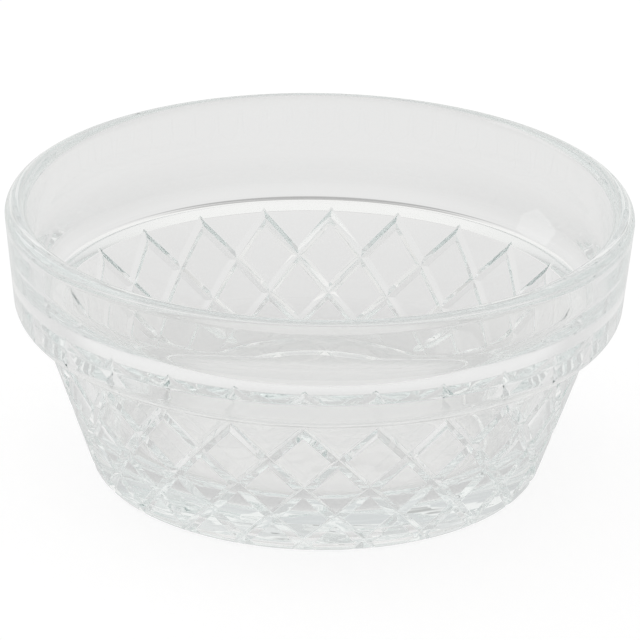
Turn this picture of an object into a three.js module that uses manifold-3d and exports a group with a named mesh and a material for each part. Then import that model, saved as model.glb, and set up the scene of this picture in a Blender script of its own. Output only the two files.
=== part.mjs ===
// A stacking bowl of clear pressed glass, made in one piece: a plain rim band over a shoulder,
// a tapering wall cut with a lattice of crossing V-grooves, a thick floor and a ring to stand on.
// Sizes are in millimetres. +Z is up, Z = 0 is the table and the Z axis is the bowl's own axis.
import * as THREE from "three";
import { mergeVertices, toCreasedNormals } from "three/addons/utils/BufferGeometryUtils.js";
import Module from "manifold-3d";

// Outside of the bowl.
const HEIGHT = 53.7;
const RIM_RADIUS = 60.2; // rim band carried straight up to the top of the lip
const RIM_DRAFT = 2.1; // how far the rim band closes in from the lip to the shoulder
const SHOULDER_HEIGHT = 32.2; // corner under the rim band
const SHOULDER_ROUND = 4.5;
const WAIST_HEIGHT = 30.3; // where the shoulder's underside meets the cut wall
const WAIST_RADIUS = 53.35;
const FOOT_RADIUS = 42.85; // cut wall carried straight down to the table
const FOOT_ROUND = 3;

// Inside of the bowl.
const LIP_WALL = 4.2;
const LIP_ROUNDNESS = 0.46; // rounding of the lip's two edges, as a share of its wall
const HOLLOW_DRAFT = 1.4; // how far the hollow closes in from the lip to the top of its flare
const FLARE_HEIGHT = 41.7; // top of the sloping part of the hollow, over the shoulder
const FLARE_ROUND = 16;
const NECK_HEIGHT = 35.2; // where the flare meets the lower wall of the hollow
const NECK_ROUND = 3;
const BODY_WALL = 4.85; // measured level, from the cut wall to the hollow
const FLOOR_THICKNESS = 7.5;
const FLOOR_ROUND = 13;

// Underside.
const RING_WIDTH = 5; // flat ring that touches the table
const RECESS_DEPTH = 1;

// Lattice of V-grooves.
const LOZENGES_AROUND = 24;
const LOZENGE_ROWS = 2; // whole lozenges from the top crossings to the lowest ones
const LATTICE_BORDER = 1.1; // plain edge left between the waist and the top crossings
const LATTICE_FOOT = 2.1; // height of the lowest crossings
const GROOVE_DEPTH = 1.05; // the same all along a groove
const GROOVE_HALF_ANGLE = THREE.MathUtils.degToRad(46);

// Fineness of the facets.
const FACETS_PER_LOZENGE = 3; // odd, so that every groove bends on a facet edge of the wall
const ARC_ERROR = 0.12; // farthest that a facet of a rounded edge lies inside its arc
const CREASE = THREE.MathUtils.degToRad(32);
const CUT_CLEARANCE = 0.3; // how far a cutter stands clear of the glass
const CUT_OVERRUN = 0.5; // how far a cutter runs past the lattice at both ends, in lozenges
const MITRE_LAP = 0.02; // lap of the two grooves that meet at a top crossing
const WELD_DISTANCE = 1e-4;
const TIDY_TOLERANCE = 0.004;

const FACETS_AROUND = LOZENGES_AROUND * FACETS_PER_LOZENGE;
const LOZENGE_PITCH = (2 * Math.PI) / LOZENGES_AROUND;

const wasm = await Module();
wasm.setup();

// Radius of the tapering wall at height z, on the plain surface before it is cut.
const WALL_SLOPE = (WAIST_RADIUS - FOOT_RADIUS) / WAIST_HEIGHT;
const WALL_TILT = Math.atan(WALL_SLOPE);

function wallRadius(z) {
  return FOOT_RADIUS + WALL_SLOPE * z;
}

// Turns a list of corners [radius, height, rounding] into points, each corner replaced by its arc.
function roundedProfile(corners) {
  const points = [];
  corners.forEach(([radius, height, rounding], i) => {
    const corner = new THREE.Vector2(radius, height);
    if (!rounding) {
      points.push(corner);
      return;
    }
    const before = new THREE.Vector2(...corners[i - 1]).sub(corner).normalize();
    const after = new THREE.Vector2(...corners[i + 1]).sub(corner).normalize();
    const half = Math.acos(THREE.MathUtils.clamp(before.dot(after), -1, 1)) / 2;
    const start = before.clone().multiplyScalar(rounding / Math.tan(half)).add(corner);
    const toCentre = before.clone().add(after).normalize();
    const centre = toCentre.multiplyScalar(rounding / Math.sin(half)).add(corner);
    const turn = (Math.PI - 2 * half) * Math.sign(after.cross(before));
    const facet = 2 * Math.acos(1 - ARC_ERROR / rounding);
    const steps = Math.ceil(Math.abs(turn) / facet);
    for (let step = 0; step <= steps; step += 1) {
      points.push(start.clone().rotateAround(centre, (turn * step) / steps));
    }
  });
  return points;
}

// Half-section of the bowl, from the middle of the underside round by the lip to the middle of the floor.
function bowlSection() {
  const ringRadius = FOOT_RADIUS - FOOT_ROUND - RING_WIDTH;
  const lipRound = LIP_WALL * LIP_ROUNDNESS;
  const rimInner = RIM_RADIUS - LIP_WALL;
  const innerWall = (z) => wallRadius(z) - BODY_WALL;
  return roundedProfile([
    [0, RECESS_DEPTH],
    [ringRadius - RECESS_DEPTH, RECESS_DEPTH],
    [ringRadius, 0],
    [FOOT_RADIUS, 0, FOOT_ROUND],
    [WAIST_RADIUS, WAIST_HEIGHT],
    [RIM_RADIUS - RIM_DRAFT, SHOULDER_HEIGHT, SHOULDER_ROUND],
    [RIM_RADIUS, HEIGHT, lipRound],
    [rimInner, HEIGHT, lipRound],
    [rimInner - HOLLOW_DRAFT, FLARE_HEIGHT, FLARE_ROUND],
    [innerWall(NECK_HEIGHT), NECK_HEIGHT, NECK_ROUND],
    [innerWall(FLOOR_THICKNESS), FLOOR_THICKNESS, FLOOR_ROUND],
    [0, FLOOR_THICKNESS],
  ]);
}

// Revolves a half-section about the Z axis, with a facet edge at the front.
function revolve(points) {
  return new THREE.LatheGeometry(points, FACETS_AROUND).rotateX(Math.PI / 2);
}

// Closed triangle mesh as a solid for cutting.
function toSolid(geometry) {
  const bare = geometry.clone();
  bare.deleteAttribute("normal");
  bare.deleteAttribute("uv");
  const merged = mergeVertices(bare, WELD_DISTANCE);
  const mesh = new wasm.Mesh({
    numProp: 3,
    vertProperties: merged.getAttribute("position").array,
    triVerts: new Uint32Array(merged.index.array),
  });
  return new wasm.Manifold(mesh);
}

// Solid as a geometry whose cut edges stay crisp.
function toGeometry(solid) {
  const mesh = solid.getMesh();
  const geometry = new THREE.BufferGeometry();
  geometry.setAttribute("position", new THREE.BufferAttribute(mesh.vertProperties, 3));
  geometry.setIndex(new THREE.BufferAttribute(mesh.triVerts, 1));
  return toCreasedNormals(geometry, CREASE);
}

// A groove keeps one slant to the rim as the wall tapers, so its turn follows the log of the radius.
const LATTICE_TOP = WAIST_HEIGHT - LATTICE_BORDER;
const TURN_RATE =
  (LOZENGE_ROWS * LOZENGE_PITCH) / Math.log(wallRadius(LATTICE_TOP) / wallRadius(LATTICE_FOOT));
const TINY_TURN = 1e-3; // step that finds a groove's direction

// Point on the tapering wall along one groove, at a turn counted from its top crossing.
function groovePoint(start, hand, turn) {
  const radius = wallRadius(LATTICE_TOP) * Math.exp(-turn / TURN_RATE);
  const angle = start + hand * turn;
  const height = (radius - FOOT_RADIUS) / WALL_SLOPE;
  return new THREE.Vector3(radius * Math.cos(angle), radius * Math.sin(angle), height);
}

// V-section bar wrapped along one groove and mitred at its top crossing, where two grooves meet.
// hand is +1 or -1 for the two leans of the lattice.
function grooveCutter(start, hand) {
  const halfWidth = (GROOVE_DEPTH + CUT_CLEARANCE) * Math.tan(GROOVE_HALF_ANGLE);
  const section = new THREE.Shape([
    new THREE.Vector2(0, -GROOVE_DEPTH),
    new THREE.Vector2(halfWidth, CUT_CLEARANCE),
    new THREE.Vector2(-halfWidth, CUT_CLEARANCE),
  ]);
  const length = LOZENGE_ROWS + 2 * CUT_OVERRUN;
  const bar = new THREE.ExtrudeGeometry(section, {
    depth: length,
    steps: Math.round(length * FACETS_PER_LOZENGE),
    bevelEnabled: false,
  });
  const position = bar.getAttribute("position");
  const local = new THREE.Vector3();
  for (let i = 0; i < position.count; i += 1) {
    local.fromBufferAttribute(position, i);
    const turn = (local.z - CUT_OVERRUN) * LOZENGE_PITCH;
    const point = groovePoint(start, hand, turn);
    const along = groovePoint(start, hand, turn + TINY_TURN).sub(point).normalize();
    const outward = new THREE.Vector3(point.x, point.y, 0).normalize();
    outward.multiplyScalar(Math.cos(WALL_TILT)).setZ(-Math.sin(WALL_TILT));
    const across = new THREE.Vector3().crossVectors(outward, along);
    point.addScaledVector(across, local.x);
    point.addScaledVector(outward, local.y);
    position.setXYZ(i, point.x, point.y, point.z);
  }
  const onward = [-hand * Math.sin(start), hand * Math.cos(start), 0];
  return toSolid(bar).trimByPlane(onward, -MITRE_LAP);
}

// Every groove of the lattice as one cutter. The front crossing is half a facet off the front.
function latticeCutter() {
  const first = -Math.PI / 2 - Math.PI / FACETS_AROUND;
  const cutters = [];
  for (let i = 0; i < LOZENGES_AROUND; i += 1) {
    const start = first + i * LOZENGE_PITCH;
    cutters.push(grooveCutter(start, 1), grooveCutter(start, -1));
  }
  return wasm.Manifold.union(cutters);
}

// The bowl: the revolved body with the lattice cut into its wall.
function bowlGeometry() {
  const body = toSolid(revolve(bowlSection()));
  return toGeometry(body.subtract(latticeCutter()).simplify(TIDY_TOLERANCE));
}

// Clear glass with a faint green cast.
function clearGlass() {
  return new THREE.MeshStandardMaterial({
    color: 0xe3ebe7,
    roughness: 0.05,
    metalness: 0,
    transparent: true,
    opacity: 0.35,
  });
}

const bowl = new THREE.Group();
const glassBowl = new THREE.Mesh(bowlGeometry(), clearGlass());
glassBowl.name = "glass_bowl";
bowl.add(glassBowl);

export default bowl;
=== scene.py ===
"""Looks of a stacking bowl of clear pressed glass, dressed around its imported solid.

The bowl is one piece: a half-section is drawn and spun, a lattice of V-grooves is cut
into the wall, and the glass is dressed and set on a pale studio floor.
"""

import logging
import math
from collections.abc import Sequence
from dataclasses import dataclass, field
from enum import Enum

import bpy
from mathutils import Matrix, Vector


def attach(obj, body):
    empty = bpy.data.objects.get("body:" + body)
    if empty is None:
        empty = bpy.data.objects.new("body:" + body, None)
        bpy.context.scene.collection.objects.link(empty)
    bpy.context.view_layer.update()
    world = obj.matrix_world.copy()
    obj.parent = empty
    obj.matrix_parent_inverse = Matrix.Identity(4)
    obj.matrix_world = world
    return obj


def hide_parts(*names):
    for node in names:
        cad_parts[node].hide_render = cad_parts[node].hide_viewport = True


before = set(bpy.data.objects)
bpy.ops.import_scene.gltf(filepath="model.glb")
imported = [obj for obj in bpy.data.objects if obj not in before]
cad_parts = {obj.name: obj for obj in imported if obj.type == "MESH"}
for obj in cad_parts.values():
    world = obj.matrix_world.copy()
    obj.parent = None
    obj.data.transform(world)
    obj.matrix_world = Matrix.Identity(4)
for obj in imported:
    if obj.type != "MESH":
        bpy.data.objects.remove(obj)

LOG = logging.getLogger("glass_bowl")
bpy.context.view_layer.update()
MM = 0.001
WELD = 0.002 * MM
FINE_WELD = 0.0002 * MM
# Lies off the bowl's planes of symmetry, so that corners sort by distance from it in one order.
SORT_FROM = (0.31, 0.77, 0.53)
LEAST_ARC_STEPS = 2
IMAGE_SIDE = 640

Corner = tuple[float, float, float]
Colour = tuple[float, float, float]
Place = tuple[float, float, float]
Point = tuple[float, float]
Stop = tuple[float, Colour]
Socket = bpy.types.NodeSocket


class Lean(Enum):
    """The two ways in which the grooves of the lattice lean."""

    RIGHT = 1
    LEFT = -1


def start_edit(name: str) -> bpy.types.Object:
    """Adds a new mesh object of one vertex at the origin and enters edit mode on it.

    Args:
        name: name of the new object.

    Returns:
        The new object, in edit mode with its only vertex selected.
    """
    bpy.ops.object.select_all(action="DESELECT")
    bpy.ops.mesh.primitive_plane_add(size=MM)
    piece = bpy.context.object
    piece.name = name
    bpy.ops.object.mode_set(mode="EDIT")
    bpy.ops.mesh.select_all(action="SELECT")
    bpy.ops.mesh.merge(type="CENTER")
    return piece


def draw_chain(points: list[Vector]) -> None:
    """Moves the only vertex to the first point and extrudes it on through the others.

    Args:
        points: places of the chain in metres, in order.
    """
    bpy.ops.transform.translate(value=points[0])
    for before, after in zip(points, points[1:]):
        bpy.ops.mesh.extrude_region_move(TRANSFORM_OT_translate={"value": after - before})


def apply_modifiers(piece: bpy.types.Object) -> None:
    """Applies every modifier of a piece in order."""
    bpy.context.view_layer.objects.active = piece
    for modifier in list(piece.modifiers):
        bpy.ops.object.modifier_apply(modifier=modifier.name)


@dataclass
class NodeBoard:
    """Adds nodes to one node tree and joins them up."""

    tree: bpy.types.NodeTree

    def add(self, kind: str) -> bpy.types.Node:
        """Adds a node of a kind."""
        return self.tree.nodes.new(kind)

    def join(self, source: Socket, target: Socket) -> None:
        """Joins an output to an input."""
        self.tree.links.new(source, target)

    def span(self, source: Socket, reach: Point, values: Point) -> Socket:
        """Maps a value smoothly from one range to another.

        Args:
            source: the value to map.
            reach: start and end of the range that is read.
            values: what the start and the end are mapped to.

        Returns:
            The mapped value, held at both ends.
        """
        node = self.add("ShaderNodeMapRange")
        node.interpolation_type = "SMOOTHSTEP"
        node.inputs["From Min"].default_value = reach[0]
        node.inputs["From Max"].default_value = reach[1]
        node.inputs["To Min"].default_value = values[0]
        node.inputs["To Max"].default_value = values[1]
        self.join(source, node.inputs["Value"])
        return node.outputs["Result"]

    def calculate(self, operation: str, *values: Socket | float) -> Socket:
        """Works out one value from others.

        Args:
            operation: name of the sum.
            values: the values that it takes, in order.

        Returns:
            The result.
        """
        node = self.add("ShaderNodeMath")
        node.operation = operation
        for slot, value in zip(node.inputs, values):
            if isinstance(value, float):
                slot.default_value = value
            else:
                self.join(value, slot)
        return node.outputs["Value"]

    def ramp(self, source: Socket, stops: Sequence[Stop]) -> Socket:
        """Maps a value to a run of colours.

        Args:
            source: the value, between nought and one.
            stops: place and colour of each stop, in order.

        Returns:
            The colour.
        """
        node = self.add("ShaderNodeValToRGB")
        elements = node.color_ramp.elements
        while len(elements) < len(stops):
            elements.new(1.0)
        for element, (place, colour) in zip(elements, stops):
            element.position = place
            element.color = (*colour, 1.0)
        self.join(source, node.inputs["Fac"])
        return node.outputs["Color"]

    def noise(self, place: Socket, scale: float, detail: float) -> Socket:
        """Adds a noise.

        Args:
            place: where the noise is read.
            scale: lumps for each metre.
            detail: how many finer layers it has.

        Returns:
            The noise, between nought and one.
        """
        node = self.add("ShaderNodeTexNoise")
        node.inputs["Scale"].default_value = scale
        node.inputs["Detail"].default_value = detail
        self.join(place, node.inputs["Vector"])
        return node.outputs["Fac"]

    def from_axis(self, place: Socket) -> Socket:
        """Distance of a place from the upright axis through the origin.

        Args:
            place: the place.

        Returns:
            The level distance in metres.
        """
        level = self.add("ShaderNodeVectorMath")
        level.operation = "MULTIPLY"
        level.inputs[1].default_value = (1, 1, 0)
        self.join(place, level.inputs[0])
        reach = self.add("ShaderNodeVectorMath")
        reach.operation = "LENGTH"
        self.join(level.outputs["Vector"], reach.inputs[0])
        return reach.outputs["Value"]


@dataclass(frozen=True)
class GlassFinish:
    """Clear glass, polished by the mould, with a faint green cast where it is thick."""

    name: str = "clear_glass"
    tint: Colour = (0.995, 0.995, 0.99)
    ior: float = 1.5
    cast: Colour = (0.5, 0.75, 0.735)
    density: float = 1.4
    # Ripples low in the hollow. The reach tells the hollow from the outside of the leaning wall.
    wall_lean: float = 0.3465
    hollow_reach: Point = (0.0395, 0.0408)
    ripple_scale: float = 110.0
    ripple_detail: float = 1.0
    ripple: float = 0.15
    ripple_top: Point = (0.016, 0.032)
    # Satin on the lip, and a trace of haze in patches all over.
    lip_height: Point = (0.049, 0.0515)
    lip_satin: float = 0.06
    bloom_scale: float = 240.0
    bloom_detail: float = 2.0
    bloom_reach: Point = (0.4, 0.8)
    bloom: float = 0.006

    def make(self) -> bpy.types.Material:
        """Makes the glass material.

        Returns:
            The material: ripples low in the hollow, a soft lip, faint haze and a green cast.
        """
        material = bpy.data.materials.new(self.name)
        material.use_nodes = True
        board = NodeBoard(material.node_tree)
        shader = material.node_tree.nodes["Principled BSDF"]
        shader.inputs["Base Color"].default_value = (*self.tint, 1.0)
        shader.inputs["Metallic"].default_value = 0.0
        shader.inputs["IOR"].default_value = self.ior
        shader.inputs["Transmission Weight"].default_value = 1.0
        place = board.add("ShaderNodeTexCoord").outputs["Object"]
        split = board.add("ShaderNodeSeparateXYZ")
        board.join(place, split.inputs["Vector"])
        height = split.outputs["Z"]
        reach = board.calculate("MULTIPLY_ADD", height, -self.wall_lean, board.from_axis(place))
        hollow = board.span(reach, self.hollow_reach, (1.0, 0.0))
        low = board.span(height, self.ripple_top, (self.ripple, 0.0))
        bump = board.add("ShaderNodeBump")
        bump.inputs["Distance"].default_value = MM
        board.join(board.calculate("MULTIPLY", hollow, low), bump.inputs["Strength"])
        wave = board.noise(place, self.ripple_scale, self.ripple_detail)
        board.join(wave, bump.inputs["Height"])
        board.join(bump.outputs["Normal"], shader.inputs["Normal"])
        lip = board.span(height, self.lip_height, (0.0, self.lip_satin))
        haze = board.noise(place, self.bloom_scale, self.bloom_detail)
        bloom = board.span(haze, self.bloom_reach, (0.0, self.bloom))
        board.join(board.calculate("ADD", lip, bloom), shader.inputs["Roughness"])
        cast = board.add("ShaderNodeVolumeAbsorption")
        cast.inputs["Color"].default_value = (*self.cast, 1.0)
        cast.inputs["Density"].default_value = self.density
        output = material.node_tree.nodes["Material Output"]
        board.join(cast.outputs["Volume"], output.inputs["Volume"])
        return material


@dataclass
class GlassBowl:
    """The bowl, in millimetres: the solid's sizes, with the rim and the top a hair inside it."""

    # Outside.
    height: float = 53.69
    rim_radius: float = 60.18
    rim_draft: float = 2.1
    shoulder_height: float = 32.2
    shoulder_round: float = 4.5
    waist_height: float = 30.3
    waist_radius: float = 53.35
    waist_round: float = 0.3
    foot_radius: float = 42.85
    foot_round: float = 3.0
    # Inside.
    lip_wall: float = 4.2
    lip_roundness: float = 0.46
    hollow_draft: float = 1.4
    flare_height: float = 41.7
    flare_round: float = 16.0
    neck_height: float = 35.2
    neck_round: float = 3.0
    body_wall: float = 4.85
    floor_thickness: float = 7.5
    floor_round: float = 13.0
    # Underside.
    ring_width: float = 5.0
    ring_round: float = 0.5
    ring_lift: float = 0.002
    recess_depth: float = 1.0
    recess_round: float = 0.6
    # Lattice of V-grooves.
    lozenges_around: int = 24
    lozenge_rows: int = 2
    lattice_border: float = 1.1
    lattice_foot: float = 2.1
    groove_depth: float = 1.05
    groove_half_angle: float = math.radians(46)
    groove_bottom_round: float = 0.12
    groove_bends: int = 4
    edge_chamfer: float = 0.06
    edge_chamfer_angle: float = math.radians(22)
    cut_clearance: float = 0.3
    # Fineness. The solid's own facets set where the first crossing stands.
    solid_facets_per_lozenge: int = 3
    turns_per_lozenge: int = 18
    arc_step: float = math.radians(5)
    crease: float = math.radians(14)
    finish: GlassFinish = field(default_factory=GlassFinish)

    @property
    def slope(self) -> float:
        """How far the wall leans out for each millimetre of height."""
        return (self.waist_radius - self.foot_radius) / self.waist_height

    @property
    def pitch(self) -> float:
        """Angle from one lozenge to the next."""
        return 2 * math.pi / self.lozenges_around

    @property
    def first_crossing(self) -> float:
        """Angle of the first top crossing, half a facet of the solid off the front."""
        return -math.pi / 2 - self.pitch / (2 * self.solid_facets_per_lozenge)

    @property
    def lattice_top(self) -> float:
        """Height of the top crossings."""
        return self.waist_height - self.lattice_border

    @property
    def turn_rate(self) -> float:
        """Turn of a groove for each step of the log of the wall's radius."""
        ratio = self.wall_radius(self.lattice_top) / self.wall_radius(self.lattice_foot)
        return self.lozenge_rows * self.pitch / math.log(ratio)

    @property
    def steps_around(self) -> int:
        """Number of facets round the bowl."""
        return self.lozenges_around * self.turns_per_lozenge

    def wall_radius(self, z: float) -> float:
        """Radius of the plain wall at a height."""
        return self.foot_radius + self.slope * z

    def rounded(self, corners: list[Corner]) -> list[Vector]:
        """Rounds the corners of a half-section.

        Args:
            corners: radius, height and rounding of each corner in millimetres.

        Returns:
            Points of the half-section in metres, in the XZ plane.
        """
        points: list[Vector] = []
        for i, (radius, height, rounding) in enumerate(corners):
            corner = Vector((radius, height))
            if rounding == 0:
                points.append(corner)
                continue
            before = (Vector(corners[i - 1][:2]) - corner).normalized()
            after = (Vector(corners[i + 1][:2]) - corner).normalized()
            half = math.acos(max(-1.0, min(1.0, before.dot(after)))) / 2
            centre = corner + (before + after).normalized() * (rounding / math.sin(half))
            start = corner + before * (rounding / math.tan(half)) - centre
            turn = math.copysign(math.pi - 2 * half, after.cross(before))
            steps = max(LEAST_ARC_STEPS, math.ceil(abs(turn) / self.arc_step))
            for step in range(steps + 1):
                points.append(centre + Matrix.Rotation(turn * step / steps, 2) @ start)
        return [Vector((p.x * MM, 0.0, p.y * MM)) for p in points]

    def half_section(self) -> list[Vector]:
        """Half-section from under the middle of the bowl, round by the lip, to the floor's middle.

        Returns:
            Points of the half-section in metres, in the XZ plane.
        """
        ring = self.foot_radius - self.foot_round - self.ring_width
        lip = self.lip_wall * self.lip_roundness
        rim_inner = self.rim_radius - self.lip_wall
        neck_inner = self.wall_radius(self.neck_height) - self.body_wall
        floor_inner = self.wall_radius(self.floor_thickness) - self.body_wall
        return self.rounded(
            [
                (0, self.recess_depth, 0),
                (ring - self.recess_depth, self.recess_depth, self.recess_round),
                (ring, self.ring_lift, self.ring_round),
                (self.foot_radius, self.ring_lift, self.foot_round),
                (self.waist_radius, self.waist_height, self.waist_round),
                (self.rim_radius - self.rim_draft, self.shoulder_height, self.shoulder_round),
                (self.rim_radius, self.height, lip),
                (rim_inner, self.height, lip),
                (rim_inner - self.hollow_draft, self.flare_height, self.flare_round),
                (neck_inner, self.neck_height, self.neck_round),
                (floor_inner, self.floor_thickness, self.floor_round),
                (0, self.floor_thickness, 0),
            ]
        )

    def spin_body(self) -> bpy.types.Object:
        """Spins the half-section into the plain bowl.

        Returns:
            The plain bowl, closed and facing out.
        """
        body = start_edit("bowl_body")
        draw_chain(self.half_section())
        bpy.ops.mesh.select_all(action="SELECT")
        bpy.ops.mesh.spin(
            steps=self.steps_around,
            angle=2 * math.pi,
            center=(0, 0, 0),
            axis=(0, 0, 1),
        )
        bpy.ops.mesh.select_all(action="SELECT")
        bpy.ops.mesh.remove_doubles(threshold=WELD)
        bpy.ops.mesh.dissolve_degenerate(threshold=WELD)
        bpy.ops.mesh.normals_make_consistent(inside=False)
        bpy.ops.object.mode_set(mode="OBJECT")
        return body

    def groove_section(self) -> list[Point]:
        """Section of a cutter across the groove, with a rounded bottom and eased edges.

        Returns:
            Points (across, out from the wall) in millimetres, going round the section.
        """
        flank = math.pi / 2 - self.groove_half_angle
        centre = -self.groove_depth + self.groove_bottom_round / math.cos(flank)
        half: list[Point] = []
        for step in range(self.groove_bends + 1):
            angle = flank * step / self.groove_bends
            across = self.groove_bottom_round * math.sin(angle)
            half.append((across, centre - self.groove_bottom_round * math.cos(angle)))
        brink = (self.groove_depth - self.edge_chamfer) * math.tan(self.groove_half_angle)
        half.append((brink, -self.edge_chamfer))
        eased = 2 * self.edge_chamfer / math.tan(self.edge_chamfer_angle)
        half.append((brink + eased, self.edge_chamfer))
        half.append((brink + eased, self.cut_clearance))
        mirrored = [(-across, out) for across, out in reversed(half[1:])]
        return mirrored + half

    def groove_bars(self, lean: Lean) -> bpy.types.Object:
        """Cutters for all the grooves of one lean.

        Args:
            lean: which way the grooves lean.

        Returns:
            One object that holds the cutters, each mitred at its top crossing.
        """
        tilt = math.atan(self.slope)
        slant = math.atan(self.turn_rate * math.sin(tilt))
        upright = Vector((math.sin(tilt), 0, math.cos(tilt)))
        outward = Vector((math.cos(tilt), 0, -math.sin(tilt)))
        apex = Vector((0, 0, -self.foot_radius / self.slope)) * MM
        crossing = Vector((self.wall_radius(self.lattice_top), 0, self.lattice_top))
        section = [
            (crossing + upright * (across / math.sin(slant)) + outward * out) * MM
            for across, out in self.groove_section()
        ]
        step = self.pitch / self.turns_per_lozenge
        shrink = math.exp(-step / self.turn_rate)
        swell = 1 / shrink
        bars = start_edit(f"groove_bars_{lean.name.lower()}")
        draw_chain(section)
        bpy.ops.mesh.select_all(action="SELECT")
        bpy.ops.mesh.edge_face_add()
        self.turn_selected(self.first_crossing)
        place = Matrix.Rotation(self.first_crossing, 3, "Z") @ crossing * MM
        run_out = self.turns_per_lozenge // 2
        for _ in range(self.lozenge_rows * self.turns_per_lozenge + run_out):
            bpy.ops.mesh.extrude_region_move()
            self.turn_selected(lean.value * step)
            bpy.ops.transform.resize(value=(shrink, shrink, shrink), center_override=apex)
            place = Matrix.Rotation(lean.value * step, 3, "Z") @ (apex + (place - apex) * shrink)
            bpy.ops.transform.resize(value=(swell, swell, swell), center_override=place)
        bpy.ops.mesh.select_all(action="SELECT")
        bpy.ops.mesh.normals_make_consistent(inside=False)
        for _ in range(self.lozenges_around - 1):
            bpy.ops.mesh.duplicate()
            self.turn_selected(self.pitch)
        bpy.ops.object.mode_set(mode="OBJECT")
        return bars

    @staticmethod
    def weld_cuts() -> None:
        """Welds the corners that the cuts left side by side, in an order that never changes."""
        bpy.ops.object.mode_set(mode="EDIT")
        bpy.ops.mesh.select_all(action="SELECT")
        bpy.context.scene.cursor.location = SORT_FROM
        for reach in (FINE_WELD, WELD):
            bpy.ops.mesh.sort_elements(type="CURSOR_DISTANCE", elements={"VERT", "EDGE", "FACE"})
            bpy.ops.mesh.remove_doubles(threshold=reach)
        bpy.ops.mesh.normals_make_consistent(inside=False)
        bpy.ops.object.mode_set(mode="OBJECT")

    @staticmethod
    def turn_selected(angle: float) -> None:
        """Turns what is selected about the bowl's axis, counter-clockwise from above."""
        bpy.ops.transform.rotate(
            value=-angle, orient_axis="Z", orient_type="GLOBAL", center_override=(0, 0, 0)
        )

    def build(self) -> bpy.types.Object:
        """Builds the bowl: the spun body with the lattice cut into its wall.

        Returns:
            The finished bowl.
        """
        bowl = self.spin_body()
        for lean in Lean:
            bars = self.groove_bars(lean)
            bpy.ops.object.select_all(action="DESELECT")
            bowl.select_set(True)
            cut = bowl.modifiers.new(f"cut_{lean.name.lower()}", "BOOLEAN")
            cut.operation = "DIFFERENCE"
            cut.solver = "MANIFOLD"
            cut.object = bars
            apply_modifiers(bowl)
            bpy.data.objects.remove(bars, do_unlink=True)
        self.weld_cuts()
        bpy.ops.object.shade_smooth_by_angle(angle=self.crease)
        bowl.name = "bowl"
        return bowl

    def dress(self, bowl: bpy.types.Object) -> None:
        """Gives the bowl its glass and ties it to the solid.

        Args:
            bowl: the finished bowl.
        """
        bowl.data.materials.clear()
        bowl.data.materials.append(self.finish.make())
        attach(bowl, "root")
        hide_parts("glass_bowl")


@dataclass(frozen=True)
class FloorFinish:
    """Pale matt floor that reads as white and keeps the bowl's shadow. Places are in metres."""

    name: str = "pale_floor"
    colour: Colour = (0.2, 0.2, 0.2)
    camera_lift: float = 0.84
    # Painted light for rays from the glass, by distance from the bowl's axis: a painted shadow
    # ring under the foot, brighter further out.
    lift_reach: float = 0.2
    painted_glass_light: tuple[Point, ...] = (
        (0.025, 0.66),
        (0.037, 0.54),
        (0.05, 0.54),
        (0.08, 0.59),
        (0.1, 0.6),
        (0.135, 0.63),
    )
    # Painted bright ring of light round the front of the bowl.
    ring_inner: Point = (0.05, 0.059)
    ring_outer: Point = (0.069, 0.08)
    ring_depth: Point = (-0.015, 0.015)
    ring_lift: float = 0.14
    # Dimmer patch far behind the bowl.
    dusk_depth: Point = (0.28, 0.45)
    dusk_width: Point = (0.04, 0.14)
    dusk: float = 0.4

    def make(self) -> bpy.types.Material:
        """Makes the floor's material.

        Returns:
            The material: white to the camera; to the glass, painted greys with a shadow ring, a
                bright ring and a dim patch.
        """
        material = bpy.data.materials.new(self.name)
        material.use_nodes = True
        nodes = material.node_tree.nodes
        nodes.remove(nodes["Principled BSDF"])
        board = NodeBoard(material.node_tree)
        matt = board.add("ShaderNodeBsdfDiffuse")
        matt.inputs["Color"].default_value = (*self.colour, 1.0)
        path = board.add("ShaderNodeLightPath").outputs
        glass = board.calculate("MAXIMUM", path["Is Glossy Ray"], path["Is Transmission Ray"])
        place = board.add("ShaderNodeTexCoord").outputs["Object"]
        split = board.add("ShaderNodeSeparateXYZ")
        board.join(place, split.inputs["Vector"])
        reach = board.from_axis(place)
        share = board.calculate("DIVIDE", reach, self.lift_reach)
        # Painted light for the glass: the ramp paints a shadow ring under the foot, and a painted
        # bright ring is added round the front.
        stops = [(stop / self.lift_reach, (grey, grey, grey)) for stop, grey in self.painted_glass_light]
        ring = board.calculate(
            "MULTIPLY",
            board.span(reach, self.ring_inner, (0.0, 1.0)),
            board.span(reach, self.ring_outer, (1.0, 0.0)),
        )
        front = board.span(split.outputs["Y"], self.ring_depth, (self.ring_lift, 0.0))
        glow = board.calculate("MULTIPLY_ADD", ring, front, board.ramp(share, stops))
        seen = board.calculate("MULTIPLY", glass, glow)
        aside = board.calculate("ABSOLUTE", split.outputs["X"])
        dusk = board.calculate(
            "MULTIPLY",
            board.span(split.outputs["Y"], self.dusk_depth, (0.0, 1.0)),
            board.span(aside, self.dusk_width, (1.0, 0.0)),
        )
        seen = board.calculate("MULTIPLY", seen, board.span(dusk, (0.0, 1.0), (1.0, self.dusk)))
        total = board.calculate("MULTIPLY_ADD", path["Is Camera Ray"], self.camera_lift, seen)
        lift = board.add("ShaderNodeEmission")
        board.join(total, lift.inputs["Strength"])
        both = board.add("ShaderNodeAddShader")
        board.join(matt.outputs["BSDF"], both.inputs[0])
        board.join(lift.outputs["Emission"], both.inputs[1])
        board.join(both.outputs["Shader"], nodes["Material Output"].inputs["Surface"])
        return material


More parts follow.
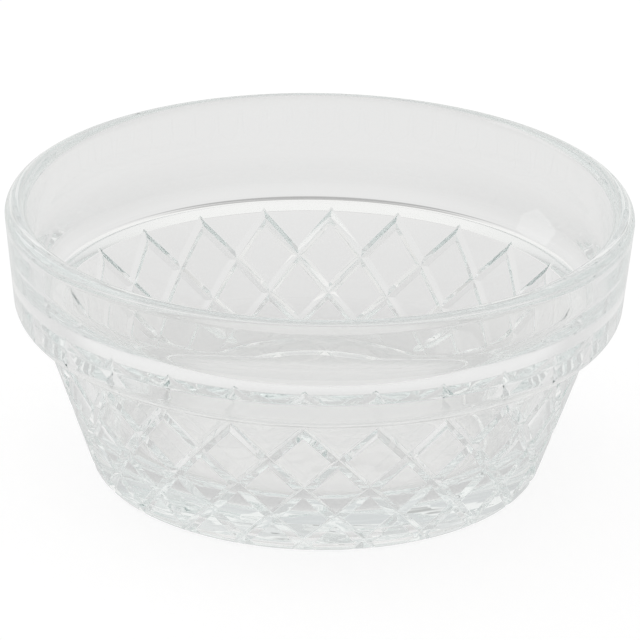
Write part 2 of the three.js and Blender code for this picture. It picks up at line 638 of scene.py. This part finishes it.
@dataclass
class Studio:
    """Floor, soft light and the camera of the photograph."""

    floor_side: float = 8.0
    floor_gap: float = 0.05 * MM
    # Camera fitted to the photograph, with angles in radians and places in millimetres.
    elevation: float = 0.4034
    roll: float = 0.0182
    aim: Place = (0.3884, 0.0, 29.1166)
    distance: float = 1000.0
    focal_pixels: float = 5203.02
    sensor: float = 36.0
    # Room, by direction: its colours from the floor up, front and back, and where it dims.
    front_rise: tuple[Stop, ...] = (
        (0.6, (0.82, 0.815, 0.808)),
        (0.9, (0.93, 0.924, 0.916)),
    )
    back_rise: tuple[Stop, ...] = (
        (0.25, (0.94, 0.935, 0.927)),
        (0.42, (0.69, 0.697, 0.704)),
        (0.9, (0.93, 0.924, 0.916)),
    )
    back_depth: Point = (-0.3, 0.5)
    side_reach: Point = (0.55, 0.95)
    side_light: float = 0.78
    dusk_height: Point = (0.07, 0.12)
    dusk_width: Point = (0.05, 0.16)
    dusk_depth: Point = (0.0, 0.5)
    dusk: float = 0.55
    # Lamp, in watts and metres.
    lamp_power: float = 4.0
    lamp_side: float = 1.2
    lamp_place: Place = (-1.1, 0.7, 1.0)
    bounces: int = 40
    floor_finish: FloorFinish = field(default_factory=FloorFinish)

    def build_floor(self) -> None:
        """Lays the floor under the bowl."""
        bpy.ops.object.select_all(action="DESELECT")
        bpy.ops.mesh.primitive_plane_add(size=self.floor_side, location=(0, 0, -self.floor_gap))
        floor = bpy.context.object
        floor.name = "floor"
        floor.data.materials.append(self.floor_finish.make())

    def light_room(self) -> None:
        """Sets the room's light, dimmer at the sides and low in the middle of the back."""
        world = bpy.data.worlds.new("room")
        bpy.context.scene.world = world
        world.use_nodes = True
        board = NodeBoard(world.node_tree)
        room = world.node_tree.nodes["Background"]
        split = board.add("ShaderNodeSeparateXYZ")
        board.join(board.add("ShaderNodeTexCoord").outputs["Generated"], split.inputs["Vector"])
        aside = board.calculate("ABSOLUTE", split.outputs["X"])
        depth = split.outputs["Y"]
        height = split.outputs["Z"]
        walls = board.add("ShaderNodeMixRGB")
        board.join(board.span(depth, self.back_depth, (0.0, 1.0)), walls.inputs["Fac"])
        board.join(board.ramp(height, self.front_rise), walls.inputs["Color1"])
        board.join(board.ramp(height, self.back_rise), walls.inputs["Color2"])
        board.join(walls.outputs["Color"], room.inputs["Color"])
        low = board.span(height, self.dusk_height, (1.0, 0.0))
        middle = board.span(aside, self.dusk_width, (1.0, 0.0))
        behind = board.span(depth, self.dusk_depth, (0.0, 1.0))
        dusk = board.calculate("MULTIPLY", board.calculate("MULTIPLY", low, middle), behind)
        light = board.calculate(
            "MULTIPLY",
            board.span(dusk, (0.0, 1.0), (1.0, self.dusk)),
            board.span(aside, self.side_reach, (1.0, self.side_light)),
        )
        board.join(light, room.inputs["Strength"])

    def hang_lamp(self) -> None:
        """Hangs one soft lamp behind the bowl's left, lighting it but not seen through it."""
        lamp = bpy.data.lights.new("soft_lamp", "AREA")
        lamp.shape = "RECTANGLE"
        lamp.size = self.lamp_side
        lamp.size_y = self.lamp_side
        lamp.energy = self.lamp_power
        holder = bpy.data.objects.new("soft_lamp", lamp)
        holder.location = self.lamp_place
        holder.rotation_euler = Vector(holder.location).to_track_quat("Z", "Y").to_euler()
        holder.visible_transmission = False
        bpy.context.scene.collection.objects.link(holder)

    def place_camera(self) -> None:
        """Places the camera at the photograph's angle."""
        data = bpy.data.cameras.new("camera")
        data.sensor_width = self.sensor
        data.lens = self.focal_pixels / IMAGE_SIDE * self.sensor
        camera = bpy.data.objects.new("camera", data)
        ahead = Vector((0, math.cos(self.elevation), -math.sin(self.elevation)))
        level_up = Vector((0, math.sin(self.elevation), math.cos(self.elevation)))
        right = Vector((math.cos(self.roll), 0, 0)) + level_up * math.sin(self.roll)
        up = level_up * math.cos(self.roll) - Vector((math.sin(self.roll), 0, 0))
        place = (Vector(self.aim) - ahead * self.distance) * MM
        turn = Matrix((right, up, -ahead)).transposed().to_4x4()
        camera.matrix_world = Matrix.Translation(place) @ turn
        bpy.context.scene.collection.objects.link(camera)
        bpy.context.scene.camera = camera

    def build(self) -> None:
        """Sets up the floor, the lights, the camera, the plain view and deep light paths."""
        self.build_floor()
        self.light_room()
        self.hang_lamp()
        self.place_camera()
        bpy.context.scene.view_settings.view_transform = "Standard"
        paths = bpy.context.scene.cycles
        paths.max_bounces = self.bounces
        paths.glossy_bounces = self.bounces
        paths.transmission_bounces = self.bounces


def main() -> None:
    """Builds the bowl and its studio and reports each piece."""
    logging.basicConfig(level=logging.INFO)
    maker = GlassBowl()
    bowl = maker.build()
    maker.dress(bowl)
    LOG.info("built %s with %d faces", bowl.name, len(bowl.data.polygons))
    Studio().build()
    LOG.info("studio is set")


if __name__ == "__main__":
    main()
